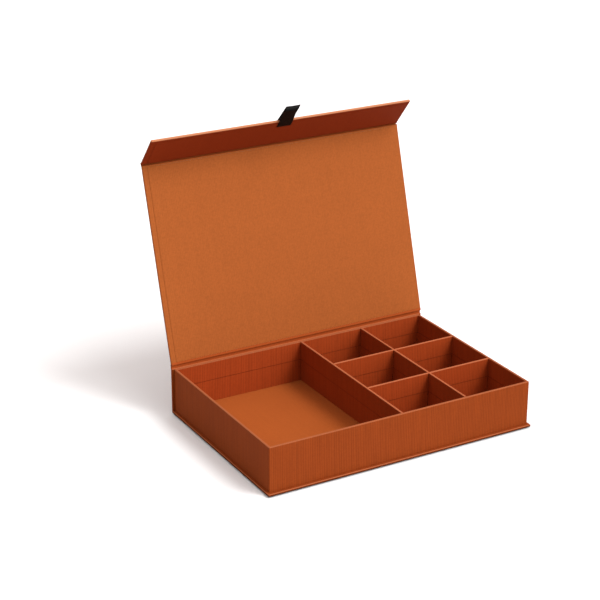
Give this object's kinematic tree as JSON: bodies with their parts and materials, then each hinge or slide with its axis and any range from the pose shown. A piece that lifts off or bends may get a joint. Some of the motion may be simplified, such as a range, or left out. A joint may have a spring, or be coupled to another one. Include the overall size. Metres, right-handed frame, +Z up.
{
  "type": "lidded compartment box",
  "caption": "Paper-covered board sorting tray with one large and several small compartments, a book-style hinged lid, a magnetic front flap and a ribbon pull.",
  "frame": {"origin": "centre of the flat underside of the base", "axes": "+X to the user's right along the front, +Y towards the spine and lid hinge at the back, +Z up"},
  "size_m": [0.3356, 0.2941, 0.3337],
  "materials": {
    "cover_paper": "fine-ribbed burnt-orange cover paper, matt",
    "lining_paper": "the same ribbed paper, matt, as a lining",
    "greyboard": "raw recycled board",
    "corner_tape": "gummed kraft tape",
    "steel": "plain stamped disc",
    "magnet": "nickel-plated",
    "ribbon": "black woven satin ribbon"
  },
  "bodies": {
    "tray": {"base_board": "greyboard", "base_cover": "cover_paper", "spine_board": "greyboard", "spine_cover": "cover_paper", "lid_hinge_liner": "lining_paper", "floor_board": "greyboard", "front_wall_board": "greyboard", "rear_wall_board": "greyboard", "left_wall_board": "greyboard", "right_wall_board": "greyboard", "catch_plate_left": "steel", "catch_plate_right": "steel", "corner_tape_front_left": "corner_tape", "corner_tape_front_right": "corner_tape", "corner_tape_rear_left": "corner_tape", "corner_tape_rear_right": "corner_tape", "tray_wrap": "cover_paper", "wall_liner": "lining_paper", "floor_liner": "lining_paper", "main_divider_board": "greyboard", "main_divider_wrap": "lining_paper", "side_divider_board": "greyboard", "side_divider_wrap": "lining_paper", "cross_divider_front_board": "greyboard", "cross_divider_front_wrap": "lining_paper", "cross_divider_rear_board": "greyboard", "cross_divider_rear_wrap": "lining_paper"},
    "lid": {"lid_board": "greyboard", "lid_cover": "cover_paper", "lid_liner": "lining_paper", "flap_hinge_liner": "lining_paper"},
    "flap": {"flap_board": "greyboard", "flap_cover": "cover_paper", "flap_liner": "lining_paper", "flap_magnet_left": "magnet", "flap_magnet_right": "magnet", "ribbon_ends": "ribbon"},
    "pull_loop": {"pull_loop": "ribbon"}
  },
  "joints": [
    {"name": "lid_hinge", "type": "hinge", "parent": "tray", "child": "lid", "pos_m": [0, 0.11495, 0.0589], "axis": [1, 0, 0], "range_deg": [-73.8, 106.2]},
    {"name": "flap_hinge", "type": "hinge", "parent": "lid", "child": "flap", "pos_m": [0, 0.17923, 0.28015], "axis": [1, 0, 0], "range_deg": [-56.3, 33.7]},
    {"name": "pull_loop_bend", "type": "hinge", "parent": "flap", "child": "pull_loop", "pos_m": [0, 0.15013, 0.31526], "axis": [-1, 0, 0], "range_deg": [0, 80], "deforming": ["pull_loop"]}
  ]
}
